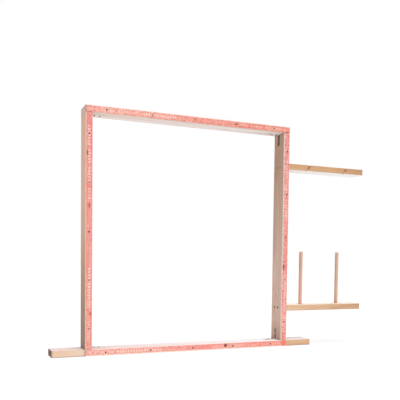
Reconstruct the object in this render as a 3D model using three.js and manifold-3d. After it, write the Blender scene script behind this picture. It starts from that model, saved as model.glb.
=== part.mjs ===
// Tufting frame: four planed battens held by corner brackets, gripper strips with slanted pins
// nailed round the front, a bottom rail that runs out into two feet, and two side arms for yarn.
import * as THREE from "three";
import { mergeVertices } from "three/addons/utils/BufferGeometryUtils.js";
import Module from "manifold-3d";

const wasm = await Module();
wasm.setup();

// Driving dimensions, in millimetres and degrees.
// X runs towards the yarn arms, Y to the back and Z up.
// The origin is the middle of the bottom rail's underside.

// Battens, all of one planed section
const battenThickness = 26;
const battenDepth = 75;
const arrisRadius = 1.5;
const frameWidth = 900;
const stileLength = 900;
const footLength = 127;

// Yarn arms on the right stile
const armLength = 400;
const lowerArmUnderside = 155;
const upperArmDrop = 155;

// Yarn pegs in the lower arm
const pegDiameter = 16;
const pegLength = 250;
const pegChamfer = 1.5;
const pegSocketDepth = 15;
const pegFromStile = 99;
const pegFromEnd = 104;

// Slanted yarn slots in the upper arm, one beside the top of each peg
const slotWidth = 10;
const slotReach = 22;
const slotLean = 27;
const slotAside = 6;

// Gripper strips and their pins
const stripWidth = 25;
const stripThickness = 6;
const stripBevel = 1.2;
const stripButtGap = 1.5;
const pinDiameter = 1.3;
const pinTipDiameter = 0.3;
const pinProud = 4.5;
const pinBuried = 3;
const pinLean = 35;
const outerPinInset = 4.5;
const innerPinInset = 9.5;
const pinEndMargin = 8;

// Nails through each gripper strip, evenly spaced, with the pins shared out between them
const nailsPerStrip = 5;
const nailEndInset = 80;
const pinPairsPerNailGap = 5;
const nailSize = { shank: 2.2, length: 25, tip: 4, head: 6.5, headHeight: 1.2, headRim: 0.6 };

// Corner brackets
const bracketLeg = 50;
const bracketWidth = 18;
const bracketThickness = 2;
const bracketBendRadius = 3;
const bracketEndRadius = 4;
const bracketHoleFromCorner = 16;
const bracketHoleFromEnd = 12;

// Screws with a cross recess: a domed head on the brackets, a countersunk one for the arms
const bracketScrew = { shank: 4, length: 20, tip: 5, head: 7.6, headHeight: 2.2, headRim: 1.2, recess: 4 };
const armScrew = { shank: 5, length: 70, tip: 5, head: 9.4, headRim: 0.4, recess: 5 };
const domeShare = 0.6;
const recessBlade = 0.9;
const recessDepth = 1.6;
const armScrewInset = 27;
const armScrewPitch = 24;

// Clearance between pieces that are cut to fit each other
const fit = 0.3;

// Facets round each kind of round shape
const arrisSteps = 3;
const bracketBendSteps = 6;
const bracketEndSteps = 5;
const slotSteps = 8;
const pegFacets = 24;
const screwFacets = 10;
const nailFacets = 8;
const pinFacets = 4;

// Levels and planes that follow from the sizes
const frontPlane = -battenDepth / 2;
const stileBase = battenThickness;
const topRailUnderside = stileBase + stileLength;
const frameHeight = topRailUnderside + battenThickness;
const innerHalfWidth = frameWidth / 2 - battenThickness;
const stripInset = (battenThickness - stripWidth) / 2;

// Materials
function finish(color, roughness, metalness = 0) {
  return new THREE.MeshStandardMaterial({ color, roughness, metalness });
}
const pine = finish(0xdcb48c, 0.62);
const beech = finish(0xd9ac84, 0.5);
const printedPly = finish(0xf0a096, 0.6);
const zinc = finish(0xb4b7ba, 0.35, 0.9);
const darkSteel = finish(0x6a625c, 0.45, 0.8);

// Joins and cuts
function toSolid(geometry) {
  const bare = geometry.clone();
  bare.deleteAttribute("normal");
  bare.deleteAttribute("uv");
  const merged = mergeVertices(bare, 1e-4);
  const mesh = new wasm.Mesh({
    numProp: 3,
    vertProperties: new Float32Array(merged.attributes.position.array),
    triVerts: new Uint32Array(merged.index.array),
  });
  return new wasm.Manifold(mesh);
}

function toGeometry(solid) {
  const mesh = solid.getMesh();
  const geometry = new THREE.BufferGeometry();
  geometry.setAttribute("position", new THREE.BufferAttribute(mesh.vertProperties, 3));
  geometry.setIndex(new THREE.BufferAttribute(mesh.triVerts, 1));
  const faceted = geometry.toNonIndexed();
  faceted.computeVertexNormals();
  return faceted;
}

function cut(geometry, cutters) {
  return toGeometry(cutters.reduce((left, cutter) => left.subtract(toSolid(cutter)), toSolid(geometry)));
}

function join(geometry, additions) {
  return toGeometry(additions.reduce((sum, part) => sum.add(toSolid(part)), toSolid(geometry)));
}

// A place is a turn about Y, in degrees, and a position.
function place(turn, x, y, z) {
  const rotation = new THREE.Matrix4().makeRotationY(THREE.MathUtils.degToRad(turn));
  return new THREE.Matrix4().makeTranslation(x, y, z).multiply(rotation);
}

// Profiles and outlines
function roundedRectangle(width, height, radius) {
  const x = width / 2;
  const y = height / 2;
  const shape = new THREE.Shape();
  shape.absarc(x - radius, y - radius, radius, 0, Math.PI / 2);
  shape.absarc(-x + radius, y - radius, radius, Math.PI / 2, Math.PI);
  shape.absarc(-x + radius, -y + radius, radius, Math.PI, 1.5 * Math.PI);
  shape.absarc(x - radius, -y + radius, radius, 1.5 * Math.PI, 2 * Math.PI);
  return shape;
}

function extrude(shape, depth, steps = arrisSteps) {
  return new THREE.ExtrudeGeometry(shape, { depth, bevelEnabled: false, curveSegments: steps });
}

// A round solid about Z, from radius and height pairs that start and end on the axis.
function turned(profile, facets) {
  const points = profile.map(([radius, height]) => new THREE.Vector2(radius, height));
  return new THREE.LatheGeometry(points, facets).rotateX(Math.PI / 2);
}

// Battens: thickness along X, depth along Y, length along Z, centred
function batten(length) {
  const section = roundedRectangle(battenThickness, battenDepth, arrisRadius);
  return extrude(section, length).translate(0, 0, -length / 2);
}

// Fasteners point down Z. The origin is under a raised head, and on top of a sunk one.
function raisedProfile(size) {
  const head = size.head / 2;
  const shank = size.shank / 2;
  return [
    [0, -size.length],
    [shank, -size.length + size.tip],
    [shank, 0],
    [head, 0],
    [head, size.headRim],
    [head * domeShare, size.headHeight],
    [0, size.headHeight],
  ];
}

function sunkProfile(size, grow) {
  const head = size.head / 2 + grow;
  const shank = size.shank / 2 + grow;
  return [
    [0, -size.length - grow],
    [shank, -size.length + size.tip - grow],
    [shank, -size.headRim - (head - shank) - grow],
    [head, -size.headRim - grow],
    [head, grow],
    [0, grow],
  ];
}

function recessed(head, size, top) {
  const blade = new THREE.BoxGeometry(size.recess, recessBlade, 2 * recessDepth).translate(0, 0, top);
  return cut(head, [blade, blade.clone().rotateZ(Math.PI / 2)]);
}

function shankHole(size, facets) {
  const radius = size.shank / 2 + fit;
  const bottom = -size.length - fit;
  return turned(
    [
      [0, bottom],
      [radius, bottom],
      [radius, fit],
      [0, fit],
    ],
    facets,
  );
}

// Gripper strip: outer edge towards -X, wood side at Y = 0, pins out of the -Y face
function stripSection() {
  const x = stripWidth / 2;
  const shape = new THREE.Shape();
  shape.moveTo(-x, 0);
  shape.lineTo(-x, -stripThickness + stripBevel);
  shape.lineTo(-x + stripBevel, -stripThickness);
  shape.lineTo(x, -stripThickness);
  shape.lineTo(x, 0);
  shape.closePath();
  return shape;
}

function pinShape() {
  const length = pinProud + pinBuried;
  const spike = new THREE.CylinderGeometry(pinTipDiameter / 2, pinDiameter / 2, length, pinFacets);
  spike.translate(0, length / 2 - pinBuried, 0);
  spike.rotateX(Math.PI);
  return spike.rotateZ(-THREE.MathUtils.degToRad(pinLean));
}

// Positions along a strip are counted from its middle.
function nailPitch(length) {
  return (length - 2 * nailEndInset) / (nailsPerStrip - 1);
}

function nailSpots(length) {
  const first = nailEndInset - length / 2;
  return Array.from({ length: nailsPerStrip }, (unused, index) => first + index * nailPitch(length));
}

// Pins stand in two rows, those of the outer row a quarter of a pitch after each nail or
// its equal step, and those of the inner row a quarter before it.
function pinSpots(length) {
  const pitch = nailPitch(length) / pinPairsPerNailGap;
  const first = nailEndInset - length / 2;
  const last = length / 2 - pinEndMargin;
  const spots = [];
  for (let step = -Math.ceil(nailEndInset / pitch); first + step * pitch <= length / 2; step += 1) {
    const outer = first + (step + 0.25) * pitch;
    const inner = first + (step - 0.25) * pitch;
    if (Math.abs(outer) <= last) spots.push([outerPinInset - stripWidth / 2, outer]);
    if (Math.abs(inner) <= last) spots.push([innerPinInset - stripWidth / 2, inner]);
  }
  return spots;
}

function gripperStrip(length) {
  const bar = extrude(stripSection(), length).translate(0, 0, -length / 2);
  const pins = pinSpots(length).map(([across, along]) =>
    pinShape().translate(across, -stripThickness, along),
  );
  return join(bar, pins);
}

// Corner bracket: corner line along Y, one leg along X and one along Z
function bracket() {
  const outer = bracketBendRadius;
  const profile = new THREE.Shape();
  profile.moveTo(bracketLeg, 0);
  profile.lineTo(bracketLeg, bracketThickness);
  profile.lineTo(outer, bracketThickness);
  profile.absarc(outer, outer, outer - bracketThickness, 1.5 * Math.PI, Math.PI, true);
  profile.lineTo(bracketThickness, bracketLeg);
  profile.lineTo(0, bracketLeg);
  profile.lineTo(0, outer);
  profile.absarc(outer, outer, outer, Math.PI, 1.5 * Math.PI, false);
  profile.closePath();
  const strap = extrude(profile, bracketWidth, bracketBendSteps).translate(0, 0, -bracketWidth / 2);
  strap.rotateX(Math.PI / 2);
  const outline = roundedRectangle(2 * bracketLeg, bracketWidth, bracketEndRadius);
  const legX = extrude(outline, 2 * bracketLeg, bracketEndSteps).translate(0, 0, -bracketLeg);
  const legZ = legX.clone().rotateY(Math.PI / 2);
  return toGeometry(toSolid(strap).intersect(toSolid(legX)).intersect(toSolid(legZ)));
}

// Peg: its foot at the origin, standing up Z
function peg() {
  const radius = pegDiameter / 2;
  return turned(
    [
      [0, 0],
      [radius - pegChamfer, 0],
      [radius, pegChamfer],
      [radius, pegLength - pegChamfer],
      [radius - pegChamfer, pegLength],
      [0, pegLength],
    ],
    pegFacets,
  );
}

function pegSocket() {
  const radius = pegDiameter / 2 + fit;
  const socket = new THREE.CylinderGeometry(radius, radius, 2 * pegSocketDepth, pegFacets);
  return socket.rotateX(Math.PI / 2);
}

// Yarn slot: open at the front edge, with a round inner end, leaning over as it rises
function slotCutter() {
  const radius = slotWidth / 2;
  const mouth = frontPlane - radius;
  const end = frontPlane + slotReach - radius;
  const outline = new THREE.Shape();
  outline.moveTo(-radius, mouth);
  outline.lineTo(radius, mouth);
  outline.lineTo(radius, end);
  outline.absarc(0, end, radius, 0, Math.PI, false);
  outline.closePath();
  const height = 2 * battenThickness;
  const cutter = extrude(outline, height, slotSteps).translate(0, 0, -height / 2);
  return cutter.rotateY(THREE.MathUtils.degToRad(slotLean));
}

// The assembly
const group = new THREE.Group();
const pieces = [];
const holes = [];

// A piece is kept with its place, so that the holes for all fasteners are bored in it later.
function piece(name, geometry, where, material, bored = true) {
  pieces.push({ name, geometry, where, material, bored });
}

function fastener(name, geometry, hole, where, material) {
  piece(name, geometry, where, material, false);
  holes.push(hole.applyMatrix4(where));
}

// Frame battens
const railLength = frameWidth + 2 * footLength;
const stileCentre = frameWidth / 2 - battenThickness / 2;
const stileMiddle = stileBase + stileLength / 2;
const topRailCentre = topRailUnderside + battenThickness / 2;
piece("bottom_rail", batten(railLength), place(90, 0, 0, battenThickness / 2), pine);
piece("top_rail", batten(frameWidth), place(90, 0, 0, topRailCentre), pine);
piece("left_stile", batten(stileLength), place(0, -stileCentre, 0, stileMiddle), pine);
piece("right_stile", batten(stileLength), place(0, stileCentre, 0, stileMiddle), pine);

// Arms, with the peg sockets and the yarn slots
const armMiddle = (frameWidth + armLength) / 2;
const pegLine = [pegFromStile, armLength - pegFromEnd];
const alongArm = (fromStile) => fromStile - armLength / 2;
const sockets = pegLine.map((x) =>
  pegSocket().rotateY(-Math.PI / 2).translate(-battenThickness / 2, 0, alongArm(x)),
);
const slots = pegLine.map((x) =>
  slotCutter().rotateY(-Math.PI / 2).translate(0, 0, alongArm(x + slotAside)),
);
const lowerArmCentre = lowerArmUnderside + battenThickness / 2;
const upperArmCentre = frameHeight - upperArmDrop - battenThickness / 2;
piece("lower_arm", cut(batten(armLength), sockets), place(90, armMiddle, 0, lowerArmCentre), pine);
piece("upper_arm", cut(batten(armLength), slots), place(90, armMiddle, 0, upperArmCentre), pine);

// Pegs, standing on the floor of their sockets
const socketFloor = lowerArmUnderside + battenThickness - pegSocketDepth;
["inner_yarn_peg", "outer_yarn_peg"].forEach((name, index) => {
  const x = frameWidth / 2 + pegLine[index];
  piece(name, peg(), place(0, x, 0, socketFloor), beech, false);
});

// Gripper strips: the two across run full width, the two upright ones fit between them
const acrossLength = frameWidth - 2 * stripInset;
const uprightLength = frameHeight - 2 * (stripInset + stripWidth + stripButtGap);
const stripCentre = battenThickness / 2;
const frameMiddle = frameHeight / 2;
const strips = [
  { name: "top", turn: 90, x: 0, z: frameHeight - stripCentre, length: acrossLength },
  { name: "bottom", turn: -90, x: 0, z: stripCentre, length: acrossLength },
  { name: "left", turn: 0, x: stripCentre - frameWidth / 2, z: frameMiddle, length: uprightLength },
  { name: "right", turn: 180, x: frameWidth / 2 - stripCentre, z: frameMiddle, length: uprightLength },
];
for (const { name, turn, x, z, length } of strips) {
  const where = place(turn, x, frontPlane, z);
  piece(`${name}_gripper_strip`, gripperStrip(length), where, printedPly);
  nailSpots(length).forEach((along, index) => {
    const spot = new THREE.Vector3(0, -stripThickness, along).applyMatrix4(where);
    const facing = new THREE.Matrix4().makeRotationX(Math.PI / 2).setPosition(spot);
    const label = `${name}_strip_nail_${index + 1}`;
    const nail = turned(raisedProfile(nailSize), nailFacets);
    fastener(label, nail, shankHole(nailSize, nailFacets), facing, darkSteel);
  });
}

// Corner brackets with two screws in each leg
const corners = [
  { name: "bottom_left", turn: 0, x: -innerHalfWidth, z: stileBase },
  { name: "bottom_right", turn: -90, x: innerHalfWidth, z: stileBase },
  { name: "top_right", turn: 180, x: innerHalfWidth, z: topRailUnderside },
  { name: "top_left", turn: 90, x: -innerHalfWidth, z: topRailUnderside },
];
const bracketHoles = [bracketHoleFromCorner, bracketLeg - bracketHoleFromEnd];
const seats = [
  ...bracketHoles.map((along) => place(0, along, 0, bracketThickness)),
  ...bracketHoles.map((along) => place(90, bracketThickness, 0, along)),
];
for (const { name, turn, x, z } of corners) {
  const corner = place(turn, x, 0, z);
  piece(`${name}_bracket`, bracket(), corner, zinc);
  seats.forEach((seat, index) => {
    const where = corner.clone().multiply(seat);
    const label = `${name}_bracket_screw_${index + 1}`;
    const turnedScrew = turned(raisedProfile(bracketScrew), screwFacets);
    const screw = recessed(turnedScrew, bracketScrew, bracketScrew.headHeight);
    fastener(label, screw, shankHole(bracketScrew, screwFacets), where, zinc);
  });
}

// Arm screws, put in through the right stile from the window side
[
  ["lower_arm", lowerArmCentre],
  ["upper_arm", upperArmCentre],
].forEach(([arm, level]) => {
  [armScrewInset, armScrewInset + armScrewPitch].forEach((fromFront, index) => {
    const where = place(-90, innerHalfWidth, frontPlane + fromFront, level);
    const screw = recessed(turned(sunkProfile(armScrew, 0), screwFacets), armScrew, 0);
    const hole = turned(sunkProfile(armScrew, fit), screwFacets);
    fastener(`${arm}_screw_${index + 1}`, screw, hole, where, zinc);
  });
});

// Bore the fastener holes in the wood and the brackets, and put every piece in its place
function bore(geometry, where) {
  const back = where.clone().invert();
  const bounds = new THREE.Box3().setFromBufferAttribute(geometry.getAttribute("position"));
  const cutters = holes.map((hole) => hole.clone().applyMatrix4(back));
  const near = cutters.filter((cutter) => {
    cutter.computeBoundingBox();
    return cutter.boundingBox.intersectsBox(bounds);
  });
  return cut(geometry, near);
}

for (const { name, geometry, where, material, bored } of pieces) {
  const mesh = new THREE.Mesh(bored ? bore(geometry, where) : geometry, material);
  mesh.name = name;
  mesh.applyMatrix4(where);
  group.add(mesh);
}

export default group;
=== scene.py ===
import math
import random

import bmesh
import bpy
from mathutils import Matrix, Vector


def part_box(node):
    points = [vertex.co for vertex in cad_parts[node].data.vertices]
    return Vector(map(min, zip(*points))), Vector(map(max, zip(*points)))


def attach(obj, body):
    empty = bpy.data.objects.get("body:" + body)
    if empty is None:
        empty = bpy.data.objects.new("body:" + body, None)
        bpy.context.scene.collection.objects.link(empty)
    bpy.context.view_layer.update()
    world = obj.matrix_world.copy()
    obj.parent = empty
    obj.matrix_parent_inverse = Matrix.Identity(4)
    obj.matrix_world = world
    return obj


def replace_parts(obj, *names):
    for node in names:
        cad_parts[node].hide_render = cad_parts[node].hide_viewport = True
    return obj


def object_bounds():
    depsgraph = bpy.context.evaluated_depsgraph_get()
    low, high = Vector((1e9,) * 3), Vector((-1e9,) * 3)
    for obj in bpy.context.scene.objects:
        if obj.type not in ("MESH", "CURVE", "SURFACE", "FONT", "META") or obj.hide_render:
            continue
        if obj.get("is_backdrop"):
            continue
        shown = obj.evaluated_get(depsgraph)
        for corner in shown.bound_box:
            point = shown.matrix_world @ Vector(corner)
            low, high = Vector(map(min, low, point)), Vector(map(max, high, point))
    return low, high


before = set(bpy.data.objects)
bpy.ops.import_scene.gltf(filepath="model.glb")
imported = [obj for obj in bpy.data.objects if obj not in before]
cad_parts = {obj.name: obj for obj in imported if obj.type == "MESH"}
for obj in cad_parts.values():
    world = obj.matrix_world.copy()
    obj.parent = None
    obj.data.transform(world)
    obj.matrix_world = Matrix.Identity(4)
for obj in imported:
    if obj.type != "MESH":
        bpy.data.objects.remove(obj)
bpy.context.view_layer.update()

# Sizes in metres, the same as on the solids where the solids have them
NAILS_PER_STRIP = 5
PIN_PAIRS_PER_NAIL_GAP = 5
# Each row's distance from the strip's outer edge, and its shift in pin pitches
PIN_ROWS = ((0.0045, 0.25), (0.0095, -0.25))
PIN_END_MARGIN = 0.008
PIN_LEAN = math.radians(35)
PIN_LEAN_SPREAD = (-2.5, 1.0)
PIN_SIDE_SPREAD = 4
PIN_PROUD = 0.0045
PIN_BURIED = 0.003
PIN_RADIUS = 0.00065
PIN_TIP_RADIUS = 0.00024
STRIP_THICKNESS = 0.006
STRIP_BEVEL = 0.0012
EASED_EDGE = 0.0003
NAIL_SHANK_RADIUS = 0.0011
NAIL_HEAD_HEIGHT = 0.0012
NAIL_HEAD_RIM = 0.00045
NAIL_TIP = 0.004
BRACKET_SCREW_SHANK = 0.002
ARM_SCREW_SHANK = 0.0025
SCREW_RIM = 0.0004
SCREW_TIP = 0.005
SCREW_NECK_SHARE = 0.3
RAISED_HEAD = 0.0022
RAISED_RIM = 0.0012
DOME_SHARE = 0.6
RECESS_DEPTH = 0.0016
RECESS_HALF_BLADE = 0.00045
PEG_EASE = 0.0015
PEG_UNEVEN = 0.00005

# How finely the pieces are made
NAIL_FACETS = 28
SCREW_FACETS = 32
PEG_FACETS = 56
PEG_STATIONS = 24
PIN_FACETS = 10
STRIP_STATIONS = 40

UNIT = (Vector((1, 0, 0)), Vector((0, 1, 0)), Vector((0, 0, 1)))
FRONT = Vector((0, -1, 0))


def srgb(red, green, blue):
    """A colour given in display values from 0 to 255, as linear values."""
    def linear(value):
        share = value / 255
        return share / 12.92 if share <= 0.04045 else ((share + 0.055) / 1.055) ** 2.4
    return (linear(red), linear(green), linear(blue), 1.0)


def grey(value):
    return (value, value, value, 1.0)


# Material graphs


class Graph:
    """A material's node tree, with short calls for the nodes used here."""

    def __init__(self, name):
        self.material = bpy.data.materials.new(name)
        self.material.use_nodes = True
        self.tree = self.material.node_tree
        self.tree.nodes.clear()
        self.output = self.add("ShaderNodeOutputMaterial")
        self.shader = self.add("ShaderNodeBsdfPrincipled")
        self.link(self.shader.outputs["BSDF"], self.output.inputs["Surface"])

    def add(self, kind, **settings):
        node = self.tree.nodes.new(kind)
        for key, value in settings.items():
            setattr(node, key, value)
        return node

    def link(self, source, target):
        self.tree.links.new(source, target)

    def feed(self, socket, value):
        if isinstance(value, bpy.types.NodeSocket):
            self.link(value, socket)
        else:
            socket.default_value = value

    def math(self, operation, first, second=0.0, third=0.0):
        node = self.add("ShaderNodeMath", operation=operation)
        for socket, value in zip(node.inputs, (first, second, third)):
            self.feed(socket, value)
        return node.outputs[0]

    def plus(self, first, second):
        return self.math("ADD", first, second)

    def minus(self, first, second):
        return self.math("SUBTRACT", first, second)

    def times(self, first, second):
        return self.math("MULTIPLY", first, second)

    def size(self, value):
        return self.math("ABSOLUTE", value)

    def step(self, value, low, high, to_low=0.0, to_high=1.0):
        """value moved smoothly from the range low to high into to_low to to_high."""
        node = self.add("ShaderNodeMapRange", interpolation_type="SMOOTHSTEP")
        for socket, number in zip(node.inputs[:5], (value, low, high, to_low, to_high)):
            self.feed(socket, number)
        return node.outputs[0]

    def split(self, vector):
        node = self.add("ShaderNodeSeparateXYZ")
        self.link(vector, node.inputs[0])
        return node.outputs[0], node.outputs[1], node.outputs[2]

    def join(self, x, y, z=0.0):
        node = self.add("ShaderNodeCombineXYZ")
        for socket, value in zip(node.inputs, (x, y, z)):
            self.feed(socket, value)
        return node.outputs[0]

    def stretch(self, vector, scale):
        node = self.add("ShaderNodeVectorMath", operation="MULTIPLY")
        self.link(vector, node.inputs[0])
        node.inputs[1].default_value = scale
        return node.outputs[0]

    def length(self, vector):
        node = self.add("ShaderNodeVectorMath", operation="LENGTH")
        self.link(vector, node.inputs[0])
        return node.outputs["Value"]

    def noise(self, vector, scale, detail=2.0, roughness=0.5):
        """Noise from 0 to 1. scale is how often it changes in a metre, one number or three."""
        if isinstance(scale, tuple):
            vector = self.stretch(vector, scale)
            scale = 1.0
        node = self.add("ShaderNodeTexNoise")
        self.link(vector, node.inputs["Vector"])
        node.inputs["Scale"].default_value = scale
        node.inputs["Detail"].default_value = detail
        node.inputs["Roughness"].default_value = roughness
        return node.outputs["Fac"]

    def mix(self, factor, first, second, blend="MIX"):
        node = self.add("ShaderNodeMix", data_type="RGBA", blend_type=blend)
        self.feed(node.inputs["Factor"], factor)
        self.feed(node.inputs[6], first)
        self.feed(node.inputs[7], second)
        return node.outputs[2]

    def ramp(self, factor, stops):
        """A grey value read from position and level pairs."""
        node = self.add("ShaderNodeValToRGB")
        elements = node.color_ramp.elements
        while len(elements) < len(stops):
            elements.new(0.5)
        for element, (position, level) in zip(elements, stops):
            element.position = position
            element.color = grey(level)
        self.feed(node.inputs["Fac"], factor)
        return node.outputs["Color"]

    def bump(self, height, distance):
        node = self.add("ShaderNodeBump")
        node.inputs["Distance"].default_value = distance
        self.link(height, node.inputs["Height"])
        self.link(node.outputs["Normal"], self.shader.inputs["Normal"])

    def surface(self, colour, roughness, metallic=0.0, specular=0.5):
        self.feed(self.shader.inputs["Base Color"], colour)
        self.feed(self.shader.inputs["Roughness"], roughness)
        self.shader.inputs["Metallic"].default_value = metallic
        self.shader.inputs["Specular IOR Level"].default_value = specular

    def place(self, box, order):
        """A piece's coordinates from its middle, in that order of axes, and for each of
        them how much the surface faces along it, with its sign."""
        coordinates = self.add("ShaderNodeTexCoord")
        position = self.split(coordinates.outputs["Object"])
        facing = self.split(coordinates.outputs["Normal"])
        middle = (box[0] + box[1]) / 2
        return [self.minus(position[i], middle[i]) for i in order], [facing[i] for i in order]


# Softwood: how dark a year's ring is from its start to its end, then the colours that the battens
# share. The ring and streak colours of the painted lit face, and those named END, darken what is
# under them. The joint and peg colours are painted shade, and the one for the ends is painted shade
# with some grime.
RING_STOPS = [(0.0, 0.15), (0.3, 0.0), (0.62, 0.3), (0.86, 1.0), (0.95, 0.9), (1.0, 0.15)]
RINGS_PER_METRE = 230.0
PITH_DISTANCE = (0.05, 0.08)
PITH_LEAN = 0.014
PITH_SWAY = 0.03
FOOT_LENGTH = 0.11
GRAIN_RELIEF = 0.0002
PLAIN = (1.0, 1.0, 1.0, 1.0)
WARM_CLOUD = srgb(222, 168, 116)
DARK_FIBRE = srgb(150, 104, 72)
LIT_RING = srgb(238, 229, 223)
LIT_STREAK = srgb(236, 226, 220)
JOINT_SHADE = srgb(112, 84, 68)
PEG_SHADE = srgb(200, 152, 118)
KNOT_WOOD = srgb(132, 84, 54)
END_GRAIN = srgb(188, 150, 122)
END_RING = srgb(198, 178, 160)
END_PORE = srgb(190, 168, 150)
PALE_ARRIS = srgb(250, 232, 210)
END_GRIME_AND_SHADE = srgb(120, 90, 66)


def pine(name, box, axis, seed, pale, dark, knots=(), low=PLAIN, high=PLAIN, reach=(-1.0, 1.0),
         foot=None, ends=(END_GRAIN, END_GRAIN), painted_light=0.0, lit_colours=(PLAIN, PLAIN),
         lit_grain=0.8, joints=(), rings=(), inside=None, front=PALE_ARRIS, lower_edge_shade=None):
    """Planed softwood cut from a log: rings round a pith beside the batten, fine fibres, darker
    end grain, small knots and rubbed arrises. Places along the batten are from its middle.

    knots: place along, across the wide side and across the narrow one, and radius
    low, high, reach: tints of its two ends, and where one starts to turn into the other and
        where it has done so, in half lengths
    foot: one more tint, of the low end alone
    ends: colours of the end grain
    painted_light: painted light, how much the upper face, or with a minus the lower one, has of the
        lit_colours, one for each end
    lit_grain: how strong the grain of the painted lit face is
    joints, rings: where the painted lit face has a line of painted shade across it, or a ring
    of painted shade
    inside: lower and upper colours of the walls cut into it, which paint light and shade into them
    front: colour of the arrises along its front
    lower_edge_shade: colour of the painted shade along its lower edges
    """
    draw = random.Random(seed)
    graph = Graph(name)
    order = (axis, (axis + 1) % 3, (axis + 2) % 3)
    (along, across, through), facing = graph.place(box, order)
    half = [(box[1][i] - box[0][i]) / 2 for i in order]
    # Pith beside the section, which wanders and leans a little along the length
    angle = draw.uniform(0, 2 * math.pi)
    away = draw.uniform(*PITH_DISTANCE)
    pith = (away * math.cos(angle), away * math.sin(angle))
    lean = [draw.uniform(-PITH_LEAN, PITH_LEAN) for _ in range(2)]
    shifted = graph.plus(along, draw.uniform(1, 40))
    body = graph.join(shifted, across, through)
    wander = graph.noise(graph.join(shifted, 0.0), 1.7)
    sway = graph.times(graph.minus(wander, 0.5), PITH_SWAY)
    offsets = []
    for coordinate, centre, slope in zip((across, through), pith, lean):
        drifted = graph.math("MULTIPLY_ADD", along, -slope, graph.minus(coordinate, centre))
        offsets.append(graph.plus(drifted, sway))
    radius = graph.length(graph.join(*offsets))
    ripple = graph.noise(body, (3.0, 45.0, 45.0), 3.0)
    radius = graph.math("MULTIPLY_ADD", ripple, 0.0035, radius)
    # Knots push the rings aside and stain the wood round them
    knot_mask = 0.0
    wide = across if half[1] > half[2] else through
    narrow = through if half[1] > half[2] else across
    for knot_along, knot_wide, knot_narrow, size in knots:
        gap = graph.join(
            graph.times(graph.minus(along, knot_along), 0.6),
            graph.minus(wide, knot_wide),
            graph.times(graph.minus(narrow, knot_narrow), 0.35),
        )
        distance = graph.length(gap)
        distance = graph.math("MULTIPLY_ADD", graph.noise(body, 220.0), 0.0018, distance)
        radius = graph.plus(radius, graph.step(distance, 0.0, size * 4, size * 1.5, 0.0))
        core = graph.step(distance, size * 0.8, size * 1.3, 1.0, 0.0)
        knot_mask = graph.math("MAXIMUM", knot_mask, core)
    # Ring widths vary from year to year
    years = graph.noise(graph.join(radius, 3.0), 95.0, 1.0)
    counted = graph.math("MULTIPLY_ADD", radius, RINGS_PER_METRE, graph.times(years, 1.9))
    late = graph.ramp(graph.math("FRACT", counted), RING_STOPS)
    year = graph.times(graph.math("FLOOR", counted), 7.31)
    strength = graph.noise(graph.join(year, 0.0), 1.0, 0.0)
    late = graph.times(late, graph.step(strength, 0.25, 0.75, 0.35, 1.0))
    fibre = graph.noise(body, (7.0, 900.0, 900.0), 2.0, 0.6)
    streak = graph.noise(body, (1.6, 85.0, 85.0))
    cloud = graph.noise(body, (2.4, 12.0, 12.0))
    face = graph.mix(graph.times(late, 0.75), pale, dark)
    face = graph.mix(graph.step(streak, 0.42, 0.72, 0.0, 0.5), face, dark)
    face = graph.mix(graph.step(cloud, 0.45, 0.75, 0.0, 0.35), face, WARM_CLOUD)
    face = graph.mix(graph.step(fibre, 0.35, 0.75, 0.0, 0.22), face, DARK_FIBRE)
    tint = graph.mix(graph.step(along, half[0] * reach[0], half[0] * reach[1]), low, high)
    face = graph.mix(1.0, face, tint, "MULTIPLY")
    if foot:
        near_foot = graph.step(along, -half[0], FOOT_LENGTH - half[0], 1.0, 0.0)
        face = graph.mix(near_foot, face, foot, "MULTIPLY")
    # Painted light: the upper face, or with a minus the lower one, turns towards paler lit colours
    if painted_light:
        upward = graph.times(facing[order.index(2)], math.copysign(1.0, painted_light))
        flank = graph.step(upward, 0.6, 0.8, 0.0, abs(painted_light))
        lit_face = graph.mix(graph.step(along, -half[0], half[0]), *lit_colours)
        lit_face = graph.mix(graph.times(late, lit_grain), lit_face, LIT_RING, "MULTIPLY")
        streaked = graph.step(streak, 0.42, 0.68, 0.0, lit_grain)
        lit_face = graph.mix(streaked, lit_face, LIT_STREAK, "MULTIPLY")
        face = graph.mix(flank, face, lit_face)
        # Painted shade: a line where another batten meets this face, and a ring round each peg's
        # foot
        for place in joints:
            beside = graph.step(graph.size(graph.minus(along, place)), 0.001, 0.008, 0.7, 0.0)
            face = graph.mix(graph.times(beside, flank), face, JOINT_SHADE)
        for place in rings:
            distance = graph.length(graph.join(graph.minus(along, place), wide))
            ring = graph.times(graph.step(distance, 0.011, 0.018, 0.95, 0.0), flank)
            face = graph.mix(ring, face, PEG_SHADE)
    if knots:
        face = graph.mix(graph.times(knot_mask, 0.7), face, KNOT_WOOD)
    # End grain, with its rings and open pores
    pores = graph.noise(body, (60.0, 1400.0, 1400.0), 1.0)
    grain = graph.mix(graph.step(along, -0.01, 0.01), *ends)
    grain = graph.mix(graph.times(late, 0.6), grain, END_RING, "MULTIPLY")
    grain = graph.mix(graph.step(pores, 0.45, 0.7, 0.0, 0.5), grain, END_PORE, "MULTIPLY")
    end_on = graph.step(graph.size(facing[0]), 0.6, 0.8)
    colour = graph.mix(end_on, face, grain)
    if inside:
        # Walls are what lies inside the outer faces and doesn't face up or down. Their colours are
        # painted light and shade
        deep = graph.step(graph.size(facing[order.index(2)]), 0.5, 0.7, 1.0, 0.0)
        for coordinate, reached in ((along, half[0]), (wide, max(half[1:]))):
            under = graph.step(graph.size(coordinate), reached - 0.002, reached - 0.001, 1.0, 0.0)
            deep = graph.times(deep, under)
        walls = graph.mix(graph.step(narrow, -0.013, 0.004), *inside)
        colour = graph.mix(deep, colour, walls)
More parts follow.
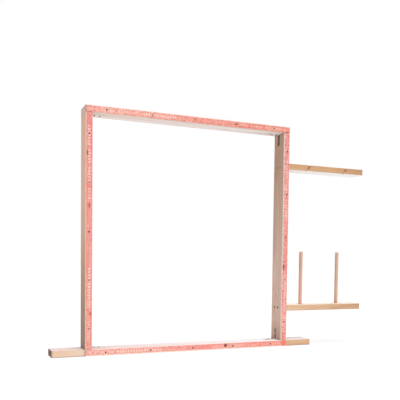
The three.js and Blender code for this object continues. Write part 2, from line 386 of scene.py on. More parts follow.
    # Rubbed arrises, and the last millimetres a little darker in patches: painted shade with some
    # grime
    outer = [graph.times(graph.size(value), 1 / reached)
             for value, reached in zip((across, through), half[1:])]
    corner = graph.step(graph.times(*outer), 0.9, 0.985)
    wide_back = graph.step(wide, -0.01, 0.01)
    rubbed = graph.mix(wide_back, front, PALE_ARRIS)
    worn = graph.times(corner, graph.step(cloud, 0.3, 0.65, 0.1, 0.5))
    colour = graph.mix(worn, colour, rubbed)
    # Painted shade along the lower edges, where the batten sits down
    if lower_edge_shade:
        colour = graph.mix(graph.step(narrow, -0.0125, -0.0075, 0.85, 0.0), colour, lower_edge_shade)
    near_end = graph.step(graph.size(along), half[0] - 0.01, half[0], 0.0, 0.3)
    colour = graph.mix(graph.times(near_end, cloud), colour, END_GRIME_AND_SHADE)
    rough = graph.math("MULTIPLY_ADD", fibre, 0.18, graph.math("MULTIPLY_ADD", late, -0.08, 0.58))
    graph.surface(colour, rough, specular=0.3)
    dents = graph.step(graph.noise(body, (40.0, 70.0, 70.0), 1.0), 0.66, 0.74, 0.0, -1.2)
    relief = graph.math("MULTIPLY_ADD", late, 0.5, graph.math("MULTIPLY_ADD", fibre, 0.7, dents))
    graph.bump(relief, GRAIN_RELIEF)
    return graph.material


PEG_PALE = srgb(226, 188, 166)
PEG_RING = srgb(192, 146, 124)
PEG_ROSY = srgb(224, 164, 142)
PEG_FLECK = srgb(168, 112, 82)
PEG_FIBRE = srgb(172, 122, 90)
PEG_END = srgb(142, 98, 70)
PEG_FOOT = (0.96, 0.88, 0.72, 1.0)
PEG_RINGS_PER_METRE = 380.0


def rod_wood(name, box, seed, low):
    """Fine-grained round rod: straight close fibres, short rays, darker ends, its lower half
    tinted with low and a yellower foot."""
    graph = Graph(name)
    (along, across, through), facing = graph.place(box, (2, 0, 1))
    half = (box[1].z - box[0].z) / 2
    body = graph.join(graph.plus(along, seed * 3.7), across, through)
    lean = graph.math("MULTIPLY_ADD", along, 0.03, across)
    bent = graph.math("MULTIPLY_ADD", graph.noise(body, 30.0), 0.004, lean)
    late = graph.ramp(graph.math("FRACT", graph.times(bent, PEG_RINGS_PER_METRE)), RING_STOPS)
    fibre = graph.noise(body, (9.0, 1500.0, 1500.0), 2.0, 0.6)
    flecks = graph.noise(body, (55.0, 700.0, 700.0), 1.0)
    patch = graph.noise(body, (9.0, 60.0, 60.0))
    colour = graph.mix(graph.times(late, 0.45), PEG_PALE, PEG_RING)
    colour = graph.mix(graph.step(patch, 0.4, 0.75, 0.0, 0.6), colour, PEG_ROSY)
    colour = graph.mix(graph.step(flecks, 0.62, 0.7, 0.0, 0.35), colour, PEG_FLECK)
    colour = graph.mix(graph.step(fibre, 0.4, 0.7, 0.0, 0.2), colour, PEG_FIBRE)
    low_half = graph.step(along, -half * 0.2, half * 0.4, 1.0, 0.0)
    colour = graph.mix(low_half, colour, low, "MULTIPLY")
    low_end = graph.step(along, -half * 0.86, -half * 0.66, 1.0, 0.0)
    colour = graph.mix(low_end, colour, PEG_FOOT, "MULTIPLY")
    end_on = graph.step(graph.size(facing[0]), 0.6, 0.8, 0.0, 0.6)
    colour = graph.mix(end_on, colour, PEG_END)
    graph.surface(colour, graph.math("MULTIPLY_ADD", fibre, 0.15, 0.45), specular=0.4)
    graph.bump(graph.math("MULTIPLY_ADD", late, 0.3, fibre), 0.0001)
    return graph.material


# The strips' print, with its plain ticks
MARK_CELL = 0.0112
MARK_HALF_HEIGHT = 0.0058
MARK_BLUR = 0.0003
TICK_OFFSET = 0.0017
INK_CLOUD = srgb(244, 178, 164)
INK_DEEP = srgb(224, 100, 92)
INK_STREAK = srgb(250, 192, 178)
INK_DARK_FLECK = srgb(206, 96, 88)
INK_PALE_FLECK = srgb(253, 212, 196)
INK_WORN = srgb(242, 208, 182)
TICK_COLOUR = srgb(254, 238, 220)
UNPRINTED = srgb(253, 224, 206)
STEEL_STAIN_AND_SHADOW = srgb(140, 66, 56)
MIDDLE_PLY = srgb(222, 190, 164)
PLY_FIBRE = srgb(216, 182, 152)
PLY_END = srgb(118, 90, 68)


def mark_mask(graph, along, across, marks, mottle):
    """Pale printed ticks, inside each of the marks and as strong as it says. A cell holds a pair
    with its own slant, width and height, or is bare."""
    cells = graph.add("ShaderNodeTexWhiteNoise", noise_dimensions="1D")
    counted = graph.plus(along, 4.0)
    graph.link(graph.math("FLOOR", graph.times(counted, 1 / MARK_CELL)), cells.inputs["W"])
    pick, tilt, size = graph.split(cells.outputs["Color"])
    slant = graph.math("MULTIPLY_ADD", tilt, 0.3, -0.15)
    sheared = graph.math("MULTIPLY_ADD", across, slant, counted)
    share = graph.math("FRACT", graph.times(sheared, 1 / MARK_CELL))
    phase = graph.times(graph.minus(share, 0.5), MARK_CELL)
    from_tick = graph.size(graph.minus(graph.size(phase), TICK_OFFSET))
    half_width = graph.math("MULTIPLY_ADD", size, 0.0006, 0.0009)
    beside = graph.minus(from_tick, half_width)
    tick = graph.step(beside, -MARK_BLUR, MARK_BLUR, 1.0, 0.0)
    half_height = graph.math("MULTIPLY_ADD", size, -0.0012, MARK_HALF_HEIGHT)
    over = graph.minus(graph.size(across), half_height)
    tick = graph.times(tick, graph.step(over, -MARK_BLUR, MARK_BLUR, 1.0, 0.0))
    tick = graph.times(tick, graph.step(pick, 0.08, 0.09))
    shown = 0.0
    for start, end, strength in marks:
        from_middle = graph.size(graph.minus(along, (start + end) / 2))
        half = (end - start) / 2
        mark = graph.step(from_middle, half - 0.001, half, strength, 0.0)
        shown = graph.math("MAXIMUM", shown, mark)
    return graph.times(graph.times(tick, shown), graph.step(mottle, 0.4, 0.65, 1.0, 0.7))


def printed_strip(name, plan, inks, marks, stains, specks, edges=srgb(255, 250, 242), margin=0.0):
    """Thin strip of three plies, with a worn print on its front. Places across are from its
    middle towards its outer edge.

    inks: the print's colours at its low and high end
    marks: where ticks begin and end along it, and their strength
    stains: place along and across, half length, half width and colour
    specks: strength of the dark and pale flecks beside the row of ticks
    edges: colour of the bare wood
    margin: how far from the outer edge the print stops
    """
    graph = Graph(name)
    order = (plan.axis, plan.across_axis, 1)
    (along, across, depth), facing = graph.place((plan.low, plan.high), order)
    across = graph.times(across, plan.outward)
    half = [(plan.high[i] - plan.low[i]) / 2 for i in order]
    shifted = graph.plus(along, 5.0 + plan.seed * 1.37)
    body = graph.join(shifted, across, depth)
    fibre = graph.noise(body, (6.0, 700.0, 700.0), 2.0, 0.6)
    streak = graph.noise(body, (3.5, 150.0, 60.0))
    mottle = graph.noise(body, (45.0, 190.0, 60.0), 3.0, 0.6)
    flecks = graph.noise(body, (95.0, 240.0, 60.0), 1.0)
    cloud = graph.noise(body, (7.0, 25.0, 25.0))
    # Bare wood of the edges, with a darker middle ply
    core = graph.step(graph.size(depth), half[2] * 0.30, half[2] * 0.38, 0.4, 0.0)
    bare = graph.mix(graph.times(core, 0.6), edges, MIDDLE_PLY)
    bare = graph.mix(graph.step(fibre, 0.4, 0.75, 0.0, 0.2), bare, PLY_FIBRE)
    # Print, redder along some fibres and paler along others
    ink = graph.mix(graph.step(along, -half[0], half[0]), *inks)
    ink = graph.mix(graph.step(cloud, 0.4, 0.7, 0.0, 0.3), ink, INK_CLOUD)
    ink = graph.mix(graph.step(mottle, 0.52, 0.68, 0.0, 0.6), ink, INK_DEEP)
    ink = graph.mix(graph.step(streak, 0.5, 0.68, 0.0, 0.4), ink, INK_STREAK)
    aside = graph.step(graph.size(across), 0.003, 0.005, 0.4, 1.0)
    for flecked, colour in ((graph.step(flecks, 0.56, 0.64, 0.0, specks), INK_DARK_FLECK),
                            (graph.step(flecks, 0.34, 0.42, specks, 0.0), INK_PALE_FLECK)):
        ink = graph.mix(graph.times(aside, flecked), ink, colour)
    ink = graph.mix(mark_mask(graph, along, across, marks, mottle), ink, TICK_COLOUR)
    if margin:
        start = half[1] - margin
        ragged = graph.plus(across, graph.times(mottle, 0.002))
        ink = graph.mix(graph.step(ragged, start, start + 0.003), ink, UNPRINTED)
    worn = graph.times(graph.step(fibre, 0.5, 0.75), graph.step(cloud, 0.4, 0.7, 0.15, 0.5))
    ink = graph.mix(worn, ink, INK_WORN)
    # Stains round the pins of both rows, and round the nails stains with painted shadow: inset,
    # shift and spacing in pin pitches, radius and strength
    rings = [(inset, shift, 1, 0.0026, 0.6) for inset, shift in PIN_ROWS]
    rings.append((half[1], 0.0, PIN_PAIRS_PER_NAIL_GAP, 0.0062, 0.75))
    for inset, shift, spacing, radius, level in rings:
        pitch = plan.pin_pitch * spacing
        from_start = graph.minus(along, plan.first_nail + shift * plan.pin_pitch)
        phase = graph.math("FRACT", graph.plus(graph.times(from_start, 1 / pitch), 100.5))
        beside = graph.times(graph.minus(phase, 0.5), pitch)
        gap = graph.join(beside, graph.minus(across, half[1] - inset))
        spot = graph.math("MULTIPLY_ADD", mottle, 0.002, graph.length(gap))
        ink = graph.mix(graph.step(spot, 0.0012, radius, level, 0.0), ink, STEEL_STAIN_AND_SHADOW)
    for place, outward, half_length, half_width, colour in stains:
        gap = graph.join(
            graph.times(graph.minus(along, place), 1 / half_length),
            graph.times(graph.minus(across, outward), 1 / half_width),
        )
        spot = graph.math("MULTIPLY_ADD", graph.noise(body, 260.0), 0.7, graph.length(gap))
        ink = graph.mix(graph.step(spot, 0.8, 1.35, 0.9, 0.0), ink, colour)
    front = graph.step(graph.times(facing[2], -1.0), 0.78, 0.92)
    colour = graph.mix(front, bare, ink)
    end_on = graph.step(graph.size(facing[0]), 0.6, 0.8, 0.0, 0.9)
    colour = graph.mix(end_on, colour, PLY_END)
    graph.surface(colour, graph.math("MULTIPLY_ADD", mottle, 0.2, 0.5), specular=0.3)
    graph.bump(graph.math("MULTIPLY_ADD", streak, 0.6, fibre), 0.00016)
    return graph.material


RUST = srgb(122, 74, 50)


def steel(name, pale, dark, roughness, metallic, rust=0.0, painted_light_colour=None):
    """Plated or bare steel: clouded tone, fine rolling scratches and spots of rust.
    painted_light_colour
    is painted light: the colour of the faces that don't face along the rails."""
    graph = Graph(name)
    sources = graph.add("ShaderNodeTexCoord")
    coordinates = sources.outputs["Object"]
    cloud = graph.noise(coordinates, 110.0, 3.0, 0.6)
    scratch = graph.noise(coordinates, (2500.0, 180.0, 2500.0))
    fine = graph.noise(coordinates, 900.0)
    colour = graph.mix(graph.step(cloud, 0.35, 0.7), pale, dark)
    if painted_light_colour:
        # Painted light on the faces that don't face along X
        sideways = graph.size(graph.split(sources.outputs["Normal"])[0])
        colour = graph.mix(graph.step(sideways, 0.3, 0.6, 0.9, 0.0), colour, painted_light_colour)
    colour = graph.mix(graph.step(fine, 0.45, 0.65, 0.0, 0.25), colour, dark)
    if rust:
        spots = graph.noise(coordinates, 420.0)
        colour = graph.mix(graph.step(spots, 0.55, 0.7, 0.0, rust), colour, RUST)
    graph.surface(colour, graph.math("MULTIPLY_ADD", scratch, 0.22, roughness), metallic)
    graph.bump(graph.math("MULTIPLY_ADD", scratch, 0.6, cloud), 0.00004)
    return graph.material


# Meshes


def new_piece(name, bm, material, body, smooth=30.0):
    """A piece of the object made of bm, which moves with that body."""
    bmesh.ops.remove_doubles(bm, verts=bm.verts, dist=1e-7)
    bmesh.ops.recalc_face_normals(bm, faces=bm.faces)
    mesh = bpy.data.meshes.new(name)
    bm.to_mesh(mesh)
    bm.free()
    mesh.materials.append(material)
    mesh.polygons.foreach_set("use_smooth", [True] * len(mesh.polygons))
    mesh.set_sharp_from_angle(angle=math.radians(smooth))
    piece = bpy.data.objects.new(name, mesh)
    bpy.context.scene.collection.objects.link(piece)
    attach(piece, body)
    return piece


def turn(bm, profile, segments, place):
    """Adds a surface turned about place's Z from radius and height pairs, and gives its last ring.
    A radius of 0 closes it on the axis."""
    rings = []
    for radius, height in profile:
        if radius == 0:
            rings.append([bm.verts.new(place @ Vector((0, 0, height)))])
            continue
        ring = []
        for index in range(segments):
            angle = 2 * math.pi * index / segments
            spot = Vector((radius * math.cos(angle), radius * math.sin(angle), height))
            ring.append(bm.verts.new(place @ spot))
        rings.append(ring)
    for lower, upper in zip(rings, rings[1:]):
        for index in range(segments):
            after = (index + 1) % segments
            corners = [lower[index % len(lower)], lower[after % len(lower)],
                       upper[after % len(upper)], upper[index % len(upper)]]
            bm.faces.new(list(dict.fromkeys(corners)))
    return rings[-1]


def loop_edges(bm, ring):
    return [bm.edges.get(pair) or bm.edges.new(pair) for pair in zip(ring, ring[1:] + ring[:1])]


def quarter_turn(steps):
    return [math.pi / 2 * index / steps for index in range(steps + 1)]


def towards(position, direction):
    """The placement whose Z points in that direction."""
    rotation = Vector((0, 0, 1)).rotation_difference(direction).to_matrix().to_4x4()
    return Matrix.Translation(position) @ rotation


def middle_of(node):
    low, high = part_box(node)
    return (low + high) / 2


def fastener_seat(node):
    """The placement of a straight fastener, with the end of its head at the origin and Z out of
    it, with its length and its head's radius. The head of a nail is at the front, and that of a
    screw is the end nearer the window's middle."""
    low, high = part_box(node)
    size = high - low
    axis = max(range(3), key=lambda i: size[i])
    middle = (low + high) / 2
    window = (middle_of("left_stile") + middle_of("right_stile")) / 2
    sign = -1 if axis == 1 or middle[axis] > window[axis] else 1
    tip_to_head = UNIT[axis] * sign
    seat = towards(middle + tip_to_head * size[axis] / 2, tip_to_head)
    return seat, size[axis], (size[(axis + 1) % 3] + size[(axis + 2) % 3]) / 4


def nail_bmesh(seat, length, head):
    """Round-headed nail: a domed head with a bevelled rim and a plain shank with a point."""
    shank = NAIL_SHANK_RADIUS
    under = -NAIL_HEAD_HEIGHT
    rim = under + NAIL_HEAD_RIM
    profile = [(0, -length), (shank * 0.4, -length + NAIL_TIP * 0.4), (shank, -length + NAIL_TIP)]
    profile += [(shank, under), (head * 0.96, under), (head, under + NAIL_HEAD_RIM / 3)]
    profile += [(head * math.cos(angle), rim * (1 - math.sin(angle)))
                for angle in quarter_turn(7)[:-1]]
    profile.append((0, 0))
    bm = bmesh.new()
    turn(bm, profile, NAIL_FACETS, seat)
    return bm


def screw_bmesh(seat, length, head, shank, twist, raised):
    """Screw with a domed or a countersunk head, a neck, a thinner threaded part, a point and a
    tapering cross recess, which is turned by twist."""
    under = -RAISED_HEAD if raised else shank - head - SCREW_RIM
    core = shank * 0.8
    neck = shank * 0.9
    profile = [(0, -length), (core * 0.5, -length + SCREW_TIP * 0.5), (core, -length + SCREW_TIP)]
    height = -length + SCREW_TIP
    pitch = shank * 0.9
    while height < under - length * SCREW_NECK_SHARE:
        profile += [(core, height), (shank, height + pitch * 0.35), (shank, height + pitch * 0.5)]
        height += pitch
    profile += [(core, height), (neck, height + pitch * 0.5), (neck, under - shank * 0.1)]
    if raised:
        profile += [(neck, under), (head - 0.0001, under), (head, under + 0.0001)]
        for angle in quarter_turn(5):
            radius = head * (DOME_SHARE + (1 - DOME_SHARE) * math.cos(angle))
            profile.append((radius, (RAISED_HEAD - RAISED_RIM) * (math.sin(angle) - 1)))
    else:
        profile += [(head - 0.00008, -SCREW_RIM), (head, -SCREW_RIM * 0.8)]
        profile += [(head, -0.00012), (head - 0.00014, 0)]
    bm = bmesh.new()
    rim = turn(bm, profile, SCREW_FACETS, seat)
    rings = []
    for scale, level in ((1.0, 0.0), (0.86, -RECESS_DEPTH * 0.5), (0.5, -RECESS_DEPTH)):
        blade = RECESS_HALF_BLADE * (0.6 + 0.4 * scale)
        ring = []
        for quarter in range(4):
            turned = Matrix.Rotation(twist + quarter * math.pi / 2, 4, "Z")
            for x, y in ((shank * scale, -blade), (shank * scale, blade), (blade, blade)):
                ring.append(bm.verts.new(seat @ turned @ Vector((x, y, level))))
        rings.append(ring)
    for upper, lower in zip(rings, rings[1:]):
        for index in range(len(upper)):
            after = (index + 1) % len(upper)
            bm.faces.new((upper[index], upper[after], lower[after], lower[index]))
    bm.faces.new(rings[-1])
    flat = loop_edges(bm, rim) + loop_edges(bm, rings[0])
    bmesh.ops.triangle_fill(bm, use_beauty=True, edges=flat)
    return bm


def peg_bmesh(low, high):
    """Turned rod with eased ends, very slightly uneven along its length."""
    radius = (high.x - low.x) / 2
    length = high.z - low.z
    foot = Vector(((low.x + high.x) / 2, (low.y + high.y) / 2, low.z))
    eased = [(radius - PEG_EASE * (1 - math.cos(angle)), PEG_EASE * (1 - math.sin(angle)))
             for angle in quarter_turn(5)]
    profile = [(0, 0), (radius * 0.5, 0)] + eased[::-1]
    for index in range(1, PEG_STATIONS):
        height = PEG_EASE + (length - 2 * PEG_EASE) * index / PEG_STATIONS
        profile.append((radius - PEG_UNEVEN * (1 + math.sin(index * 1.7)), height))
    profile += [(across, length - height) for across, height in eased]
    profile += [(radius * 0.5, length), (0, length)]
    bm = bmesh.new()
    turn(bm, profile, PEG_FACETS, Matrix.Translation(foot))
    return bm


class StripPlan:
    """Where a gripper strip's wood, nails and pins are. Positions along it are from its middle."""

    def __init__(self, name, seed):
        self.name = name
        self.seed = seed
        self.node = f"{name}_gripper_strip"
        self.axis = 0 if name in ("top", "bottom") else 2
        self.across_axis = 2 - self.axis
        self.outward = 1 if name in ("top", "right") else -1
        low, high = (corner.copy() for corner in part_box(self.node))
        low.y = high.y - STRIP_THICKNESS
        self.low = low
        self.high = high
        self.middle = (low + high) / 2
        self.length = high[self.axis] - low[self.axis]
        self.width = high[self.across_axis] - low[self.across_axis]
        first, last = (middle_of(f"{name}_strip_nail_{number}")[self.axis] - self.middle[self.axis]
                       for number in (1, NAILS_PER_STRIP))
        self.first_nail = first
        # Below 0 on the strips whose nails are numbered towards -X or -Z
        self.pin_pitch = (last - first) / (NAILS_PER_STRIP - 1) / PIN_PAIRS_PER_NAIL_GAP

    def spot(self, along, from_outer_edge):
        """A point on the strip's front."""
        point = self.middle.copy()
        point[self.axis] += along
        point[self.across_axis] += self.outward * (self.width / 2 - from_outer_edge)
        point.y = self.low.y
        return point

    def pin_spots(self):
        spots = []
        last = self.length / 2 - PIN_END_MARGIN
        steps = math.ceil(self.length / abs(self.pin_pitch))
        for step in range(-steps, steps + 1):
            for inset, shift in PIN_ROWS:
                along = self.first_nail + (step + shift) * self.pin_pitch
                if abs(along) <= last:
                    spots.append(self.spot(along, inset))
        return spots


def strip_bmesh(plan):
    """The strip's wood: bevelled along its outer front edge, with its other edges just eased."""
    out = UNIT[plan.across_axis] * plan.outward
    half = plan.width / 2
    ease = EASED_EDGE
    front = plan.low.y
    back = plan.high.y
    section = [(-half, back), (half, back), (half, front + STRIP_BEVEL),
               (half - STRIP_BEVEL, front), (-half + ease, front), (-half, front + ease)]
    stations = [-plan.length / 2, -plan.length / 2 + ease]
    stations += [plan.length * (index / STRIP_STATIONS - 0.5) for index in range(1, STRIP_STATIONS)]
    stations += [plan.length / 2 - ease, plan.length / 2]
    bm = bmesh.new()
    rings = []
    for station in stations:
        shrink = ease if abs(station) == plan.length / 2 else 0.0
        ring = []
        for across, level in section:
            point = plan.middle.copy()
            point[plan.axis] += station
            point += out * (across - math.copysign(shrink, across))
            point.y = level + (shrink if level == front else 0.0)
            ring.append(bm.verts.new(point))
        rings.append(ring)
    for lower, upper in zip(rings, rings[1:]):
        for index in range(len(section)):
            after = (index + 1) % len(section)
            bm.faces.new((lower[index], lower[after], upper[after], upper[index]))
    bm.faces.new(rings[0])
    bm.faces.new(rings[-1])
    return bm


def pins_bmesh(plan, seed):
    """All the pins of a strip: tapering spikes, each driven in on a slant to the outer edge."""
    draw = random.Random(seed)
    out = UNIT[plan.across_axis] * plan.outward
    bm = bmesh.new()
    for spot in plan.pin_spots():
        lean = PIN_LEAN + math.radians(draw.uniform(*PIN_LEAN_SPREAD))
        side = math.radians(draw.uniform(-PIN_SIDE_SPREAD, PIN_SIDE_SPREAD))
        direction = FRONT * math.cos(lean) + out * math.sin(lean) + UNIT[plan.axis] * math.sin(side)
        proud = PIN_PROUD * draw.uniform(0.93, 0.99)
        profile = [(0, -PIN_BURIED), (PIN_RADIUS, -PIN_BURIED), (PIN_RADIUS, 0.0),
                   (PIN_RADIUS * 0.8, proud * 0.5), (PIN_TIP_RADIUS, proud * 0.93), (0, proud)]
        turn(bm, profile, PIN_FACETS, towards(spot, direction.normalized()))
    return bm


# Camera: the photograph's view, which was cropped off its optical axis. The first three values are
# in pixels, and the camera's place is in metres.
IMAGE = 400
OPTICAL_AXIS = (163.0, 287.82)
FOCAL_PIXELS = 563.67
CAMERA_PLACE = Vector((-0.95786, -2.14027, 0.36116))
YAW, PITCH, ROLL = (math.radians(angle) for angle in (21.448, -2.55, 0.5212))
SENSOR = 36.0


def make_camera():
    ahead = Vector((math.sin(YAW), math.cos(YAW), 0))
    forward = ahead * math.cos(PITCH) + Vector((0, 0, math.sin(PITCH)))
    level = Vector((math.cos(YAW), -math.sin(YAW), 0))
    upright = level.cross(forward)
    right = level * math.cos(ROLL) + upright * math.sin(ROLL)
    up = upright * math.cos(ROLL) - level * math.sin(ROLL)
    data = bpy.data.cameras.new("camera")
    data.sensor_width = SENSOR
    data.lens = FOCAL_PIXELS / IMAGE * SENSOR
    data.shift_x = (IMAGE / 2 - OPTICAL_AXIS[0]) / IMAGE
    data.shift_y = (OPTICAL_AXIS[1] - IMAGE / 2) / IMAGE
    camera = bpy.data.objects.new("camera", data)
    turned = Matrix((right, up, -forward)).transposed().to_4x4()
    camera.matrix_world = Matrix.Translation(CAMERA_PLACE) @ turned
    bpy.context.scene.collection.objects.link(camera)
    bpy.context.scene.camera = camera


# Stage: floor, world and lamps. The camera and mirrors see the floor and the world near white, and
# their light on the object is set apart from that. A lamp has a name, where it shines from, its
# level and how wide it looks in degrees.
FLOOR_HALF_SIZE = 40.0
FLOOR_COLOUR = grey(0.8)
FLOOR_SHOWN_GLOW = 0.8
FLOOR_SHOWN_COLOUR = grey(0.22)
WORLD_LEVEL = 0.42
LAMP_HEIGHT = 3
LAMPS = (
    ("overhead", (0.05, -0.25, 0.97), 0.74, 50),
    ("front", (0.45, -0.86, 0.25), 0.22, 50),
)


def seen_directly(tree):
    """1 for rays from the camera and for mirror and glass rays, else 0."""
    path = tree.nodes.new("ShaderNodeLightPath")
    total = path.outputs["Is Camera Ray"]
    for name in ("Is Glossy Ray", "Is Transmission Ray"):
        node = tree.nodes.new("ShaderNodeMath")
        node.operation = "MAXIMUM"
        tree.links.new(total, node.inputs[0])
        tree.links.new(path.outputs[name], node.inputs[1])
        total = node.outputs[0]
    return total


def make_floor():
    bm = bmesh.new()
    bmesh.ops.create_grid(bm, x_segments=1, y_segments=1, size=FLOOR_HALF_SIZE)
    mesh = bpy.data.meshes.new("floor")
    bm.to_mesh(mesh)
    bm.free()
    floor = bpy.data.objects.new("floor", mesh)
    bpy.context.scene.collection.objects.link(floor)
    material = bpy.data.materials.new("floor")
    material.use_nodes = True
    tree = material.node_tree
    tree.nodes.clear()
    output = tree.nodes.new("ShaderNodeOutputMaterial")
    bounce = tree.nodes.new("ShaderNodeBsdfDiffuse")
    bounce.inputs["Color"].default_value = FLOOR_COLOUR
    shadowed = tree.nodes.new("ShaderNodeBsdfDiffuse")
    shadowed.inputs["Color"].default_value = FLOOR_SHOWN_COLOUR
    glow = tree.nodes.new("ShaderNodeEmission")
    glow.inputs["Strength"].default_value = FLOOR_SHOWN_GLOW
    shown = tree.nodes.new("ShaderNodeAddShader")
    choose = tree.nodes.new("ShaderNodeMixShader")
    tree.links.new(shadowed.outputs[0], shown.inputs[0])
    tree.links.new(glow.outputs[0], shown.inputs[1])
    tree.links.new(seen_directly(tree), choose.inputs[0])
    tree.links.new(bounce.outputs[0], choose.inputs[1])
    tree.links.new(shown.outputs[0], choose.inputs[2])
    tree.links.new(choose.outputs[0], output.inputs[0])
    mesh.materials.append(material)
    floor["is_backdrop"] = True


def make_world():
    world = bpy.data.worlds.new("studio")
    bpy.context.scene.world = world
    world.use_nodes = True
    tree = world.node_tree
    tree.nodes.clear()
    output = tree.nodes.new("ShaderNodeOutputWorld")
    shown = tree.nodes.new("ShaderNodeBackground")
    light = tree.nodes.new("ShaderNodeBackground")
    light.inputs["Strength"].default_value = WORLD_LEVEL
    choose = tree.nodes.new("ShaderNodeMixShader")
    tree.links.new(seen_directly(tree), choose.inputs[0])
    tree.links.new(light.outputs[0], choose.inputs[1])
    tree.links.new(shown.outputs[0], choose.inputs[2])
    tree.links.new(choose.outputs[0], output.inputs[0])
    for node in (shown, light):
        node.inputs["Color"].default_value = grey(1.0)


def make_sun(name, direction, level, angle):
    """A soft lamp from that direction. Level 1 shows a surface that faces it as it is coloured."""
    data = bpy.data.lights.new(name, "SUN")
    data.energy = level * math.pi
    data.angle = math.radians(angle)
    lamp = bpy.data.objects.new(name, data)
    lamp.matrix_world = towards(Vector((0, 0, LAMP_HEIGHT)), Vector(direction).normalized())
    bpy.context.scene.collection.objects.link(lamp)


make_camera()
make_floor()
make_world()
for lamp in LAMPS:
    make_sun(*lamp)


# The object


def dress(node, material):
    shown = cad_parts[node]
    shown.data.materials.clear()
    shown.data.materials.append(material)


# Where the stiles' faces meet the rails, and where the pegs stand in the lower arm, both from the
# batten's middle
STILE_INNER, STILE_OUTER = (corner.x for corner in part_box("right_stile"))
PEG_PLACES = [middle_of(f"{peg}_yarn_peg").x - middle_of("lower_arm").x
              for peg in ("inner", "outer")]

# The battens. Tints are linear shares of red, green and blue.
WOOD = {
    "bottom_rail": dict(
        axis=0, seed=3, pale=srgb(252, 236, 221), dark=srgb(222, 188, 160),
        high=(0.83, 0.64, 0.48, 1.0), foot=(0.93, 0.88, 0.8, 1.0),
        # Painted light on its upper face
        painted_light=0.9, lit_colours=(srgb(233, 213, 212), srgb(248, 250, 255)), lit_grain=0.6,
        # Painted shade where the stiles stand on it
        joints=(-STILE_OUTER, -STILE_INNER, STILE_INNER, STILE_OUTER),
        # Its end grain darker than plain end grain, partly painted shade
        ends=(srgb(118, 84, 72), srgb(118, 84, 72)), front=srgb(206, 156, 122),
        # Painted shade along its lower edges
        lower_edge_shade=srgb(166, 134, 116), knots=((0.22, 0.004, -0.013, 0.004),),
    ),
    "top_rail": dict(
        axis=0, seed=8, pale=srgb(244, 214, 190), dark=srgb(222, 178, 144),
        # Painted light on its lower face
        painted_light=-0.85, lit_colours=(srgb(246, 236, 233), srgb(247, 240, 239)),
        # Painted shade where the stiles meet it
        joints=(-STILE_INNER, STILE_INNER),
        # Its ends pale with painted light, and its front arrises darker, partly painted shade under
        # the strip
        ends=(srgb(246, 220, 206), srgb(246, 220, 206)), front=srgb(190, 140, 124),
        knots=((-0.19, 0.012, 0.013, 0.004),),
    ),
    "left_stile": dict(
        axis=2, seed=5, pale=srgb(240, 202, 180), dark=srgb(216, 172, 146),
        # Painted light and shade: paler towards the top, much darker towards the bottom
        low=(0.48, 0.47, 0.43, 1.0), high=(1.06, 1.03, 0.97, 1.0), reach=(-1.0, 0.35),
        knots=((0.12, -0.01, 0.013, 0.005),),
    ),
    "right_stile": dict(
        axis=2, seed=11, pale=srgb(240, 202, 180), dark=srgb(216, 172, 146),
        # Painted light and shade: paler towards the bottom, darker towards the top
        low=(1.02, 1.11, 1.23, 1.0), high=(0.7, 0.7, 0.67, 1.0), reach=(-0.5, 0.9),
        # Painted shade at its foot, where it stands on the bottom rail
        foot=(0.8, 0.72, 0.66, 1.0), knots=((-0.26, 0.012, 0.013, 0.005),),
    ),
    "lower_arm": dict(
        axis=0, seed=17, pale=srgb(236, 196, 158), dark=srgb(212, 160, 116),
        low=(0.96, 0.99, 1.04, 1.0), high=(0.79, 0.75, 0.75, 1.0), reach=(-0.6, 1.0),
        # Painted light on its upper face, and rings of painted shade round the pegs' feet
        painted_light=0.9, lit_colours=(srgb(252, 243, 234), srgb(248, 238, 229)), rings=PEG_PLACES,
    ),
    "upper_arm": dict(
        axis=0, seed=21, pale=srgb(224, 182, 142), dark=srgb(196, 142, 98),
        low=(0.97, 0.95, 0.93, 1.0), high=(0.82, 0.79, 0.76, 1.0), reach=(0.0, 1.0),
        # Painted light on its lower face, and painted light and shade on the walls of its slots
        painted_light=-0.95, lit_grain=0.3, inside=(srgb(255, 250, 244), srgb(190, 146, 116)),
    ),
}
for node, grain in WOOD.items():
    dress(node, pine(node + "_wood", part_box(node), **grain))

# Painted shade: the upper brackets and screws are darker than the lower ones, but for the legs
# under the top rail, which carry painted light
lit_zinc = steel("lit_zinc", srgb(174, 146, 132), srgb(150, 124, 112), 0.4, 0.15,
                   painted_light_colour=srgb(226, 220, 216))
shaded_zinc = steel("shaded_zinc", srgb(116, 92, 80), srgb(92, 72, 64), 0.4, 0.15,
                   painted_light_colour=srgb(255, 253, 252))
lit_screw = steel("lit_screw", srgb(160, 134, 120), srgb(128, 104, 92), 0.4, 0.2)
shaded_screw = steel("shaded_screw", srgb(124, 98, 86), srgb(84, 66, 58), 0.4, 0.3)
faint_steel = steel("faint_steel", srgb(176, 142, 122), srgb(132, 104, 88), 0.45, 0.1)
dark_steel = steel("dark_steel", srgb(84, 62, 54), srgb(52, 38, 34), 0.45, 0.25, rust=0.4)
pin_steel = steel("pin_steel", srgb(196, 182, 172), srgb(140, 120, 108), 0.35, 0.5, rust=0.2)

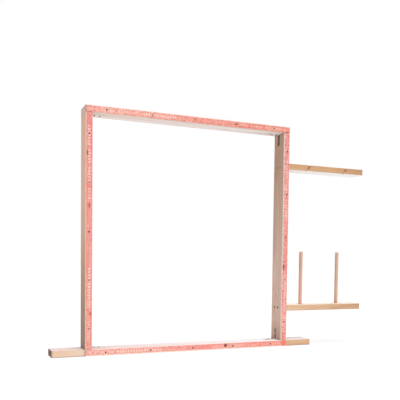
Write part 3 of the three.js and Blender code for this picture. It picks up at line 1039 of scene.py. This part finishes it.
CORNERS = {
    "bottom_left": (lit_zinc, lit_screw),
    "bottom_right": (lit_zinc, lit_screw),
    "top_right": (shaded_zinc, shaded_screw),
    "top_left": (shaded_zinc, shaded_screw),
}
SCREWS = {}
for corner, (zinc, screw) in CORNERS.items():
    bracket = f"{corner}_bracket"
    dress(bracket, zinc)
    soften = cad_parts[bracket].modifiers.new("eased", "BEVEL")
    soften.width = EASED_EDGE
    soften.segments = 2
    soften.limit_method = "ANGLE"
    soften.angle_limit = math.radians(50)
    for number in (1, 2, 3, 4):
        SCREWS[f"{bracket}_screw_{number}"] = screw
for arm, materials in (("lower_arm", (dark_steel, faint_steel)),
                       ("upper_arm", (faint_steel, faint_steel))):
    for number, screw in enumerate(materials, 1):
        SCREWS[f"{arm}_screw_{number}"] = screw

twists = random.Random(41)
for node, material in SCREWS.items():
    seat, length, head = fastener_seat(node)
    raised = "bracket" in node
    shank = BRACKET_SCREW_SHANK if raised else ARM_SCREW_SHANK
    bm = screw_bmesh(seat, length, head, shank, twists.uniform(0, math.pi / 2), raised)
    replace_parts(new_piece(node + "_turned", bm, material, "frame"), node)

PEGS = (
    ("inner_yarn_peg", "inner_peg", (1.08, 1.08, 1.12, 1.0)),
    ("outer_yarn_peg", "outer_peg", PLAIN),
)
for number, (peg, body, tint) in enumerate(PEGS, 1):
    low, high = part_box(peg)
    material = rod_wood(peg + "_wood", (low, high), number, tint)
    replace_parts(new_piece(peg + "_turned", peg_bmesh(low, high), material, body), peg)

# The strips' print
STRIPS = {
    "top": dict(
        inks=(srgb(247, 168, 156), srgb(236, 136, 120)), specks=0.7,
        # Its darker bare edges are partly painted shade along its lower edge
        edges=srgb(222, 186, 168), margin=0.003,
        marks=((-0.391, -0.078, 0.65), (0.024, 0.04, 0.5), (0.17, 0.4, 0.5)),
        stains=((0.19, 0.0, 0.014, 0.006, srgb(208, 122, 108)),
                # The second stain is painted shade at the gap where the right strip meets it
                (0.4375, -0.0125, 0.014, 0.0022, srgb(96, 60, 48))),
    ),
    "bottom": dict(
        inks=(srgb(244, 168, 159), srgb(242, 142, 129)), specks=0.4, margin=0.0045,
        marks=((-0.44, -0.14, 0.75), (-0.04, -0.026, 0.7), (0.085, 0.42, 0.5)),
        stains=((0.15, -0.003, 0.010, 0.008, srgb(58, 20, 16)),
                (0.436, 0.0, 0.016, 0.022, srgb(240, 122, 106))),
    ),
    "left": dict(
        inks=(srgb(242, 146, 134), srgb(239, 136, 132)), specks=0.35, edges=srgb(252, 228, 214),
        marks=((-0.43, -0.335, 0.6), (-0.288, -0.133, 0.8), (-0.03, -0.022, 0.7),
               (0.117, 0.4, 0.75)),
        stains=((-0.311, -0.006, 0.010, 0.005, srgb(190, 100, 78)),
                (0.098, -0.001, 0.015, 0.0045, srgb(200, 80, 70)),
                (0.297, 0.0075, 0.014, 0.0045, srgb(176, 58, 50))),
    ),
    "right": dict(
        inks=(srgb(241, 144, 137), srgb(239, 150, 149)), specks=0.8,
        marks=((-0.43, -0.154, 0.55), (0.08, 0.33, 0.6)),
        stains=((-0.127, -0.007, 0.016, 0.007, srgb(182, 58, 50)),),
    ),
}
# Nails that are paler than the rest, by their strip
FADED_NAILS = {"top": (2, 3), "bottom": (), "left": (1, 2, 4), "right": (4,)}
for index, (name, look) in enumerate(STRIPS.items()):
    plan = StripPlan(name, index + 1)
    wood = new_piece(plan.node + "_wood", strip_bmesh(plan),
                     printed_strip(plan.node + "_print", plan, **look), "frame")
    pins = new_piece(plan.node + "_pins", pins_bmesh(plan, index), pin_steel, "frame",
                     50.0)
    for piece in (wood, pins):
        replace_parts(piece, plan.node)
    for number in range(1, NAILS_PER_STRIP + 1):
        node = f"{name}_strip_nail_{number}"
        coat = faint_steel if number in FADED_NAILS[name] else dark_steel
        nail = new_piece(node + "_round", nail_bmesh(*fastener_seat(node)), coat, "frame")
        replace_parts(nail, node)

bpy.context.scene.view_settings.view_transform = "Standard"

low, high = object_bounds()
